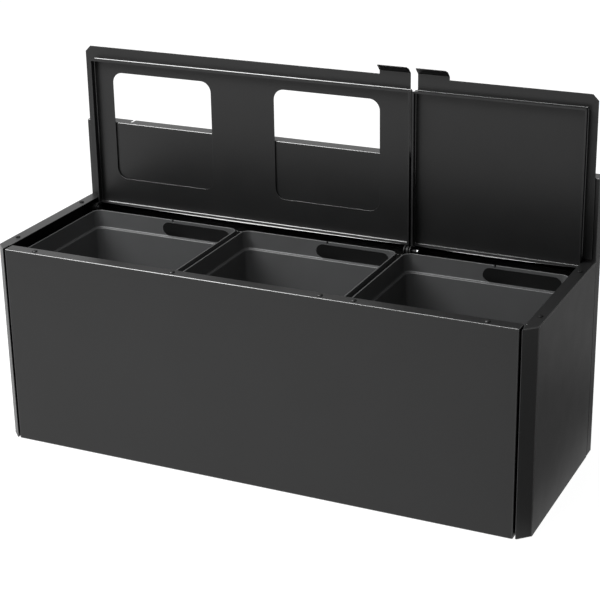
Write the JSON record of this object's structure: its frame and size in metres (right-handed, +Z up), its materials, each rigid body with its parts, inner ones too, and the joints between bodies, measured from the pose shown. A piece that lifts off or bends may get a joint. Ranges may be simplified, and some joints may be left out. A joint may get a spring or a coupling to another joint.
{
  "type": "waste sorting station",
  "caption": "Long sheet-steel cabinet for sorting waste, with lift-out bins, a wide windowed lid, a narrow plain lid and a tall back panel.",
  "frame": {"origin": "on the floor, below the middle of the object's box", "axes": "+X along the cabinet toward the narrow lid, +Y from the front to the wall side, +Z up"},
  "size_m": [0.9, 0.325, 0.6134],
  "materials": {
    "black_steel": "black powder coat, satin, very fine texture",
    "bin_plastic": "dark grey moulded polypropylene, fine matt grain",
    "black_rubber": "black moulded rubber",
    "zinc_pin": "bright zinc plate, turned",
    "nylon_bush": "black nylon",
    "black_screw": "black oxide pan-head screw"
  },
  "bodies": {
    "cabinet": {"front_panel": "black_steel", "left_end_panel": "black_steel", "right_end_panel": "black_steel", "back_panel": "black_steel", "base_panel": "black_steel", "left_divider": "black_steel", "right_divider": "black_steel", "rear_rail": "black_steel", "left_corner_bracket": "black_steel", "right_corner_bracket": "black_steel", "left_hinge_boss": "black_steel", "right_hinge_boss": "black_steel", "centre_hinge_bracket": "black_steel", "end_hinge_pins": "zinc_pin", "centre_hinge_pin": "zinc_pin", "lid_bumpers": "black_rubber", "lid_stops": "black_rubber", "flange_screws": "black_screw", "back_screws": "black_screw", "front_screws": "black_screw", "divider_screws": "black_screw", "feet": "black_rubber"},
    "wide_lid": {"wide_lid_panel": "black_steel", "wide_lid_skirt": "black_steel", "wide_lid_ears": "black_steel", "wide_lid_bushes": "nylon_bush"},
    "narrow_lid": {"narrow_lid_panel": "black_steel", "narrow_lid_skirt": "black_steel", "narrow_lid_ears": "black_steel", "narrow_lid_bushes": "nylon_bush"},
    "left_bin": {"left_bin": "bin_plastic"},
    "middle_bin": {"middle_bin": "bin_plastic"},
    "right_bin": {"right_bin": "bin_plastic"}
  },
  "joints": [
    {"name": "wide_lid_hinge", "type": "hinge", "parent": "cabinet", "child": "wide_lid", "pos_m": [-0.14, 0.118, 0.318], "axis": [-1, 0, 0], "range_deg": [-90, 0]},
    {"name": "narrow_lid_hinge", "type": "hinge", "parent": "cabinet", "child": "narrow_lid", "pos_m": [0.29, 0.118, 0.318], "axis": [-1, 0, 0], "range_deg": [-90, 0]},
    {"name": "left_bin_lift", "type": "slide", "parent": "cabinet", "child": "left_bin", "axis": [0, 0, 1], "range_m": [0, 0.33]},
    {"name": "middle_bin_lift", "type": "slide", "parent": "cabinet", "child": "middle_bin", "axis": [0, 0, 1], "range_m": [0, 0.33]},
    {"name": "right_bin_lift", "type": "slide", "parent": "cabinet", "child": "right_bin", "axis": [0, 0, 1], "range_m": [0, 0.33]}
  ]
}
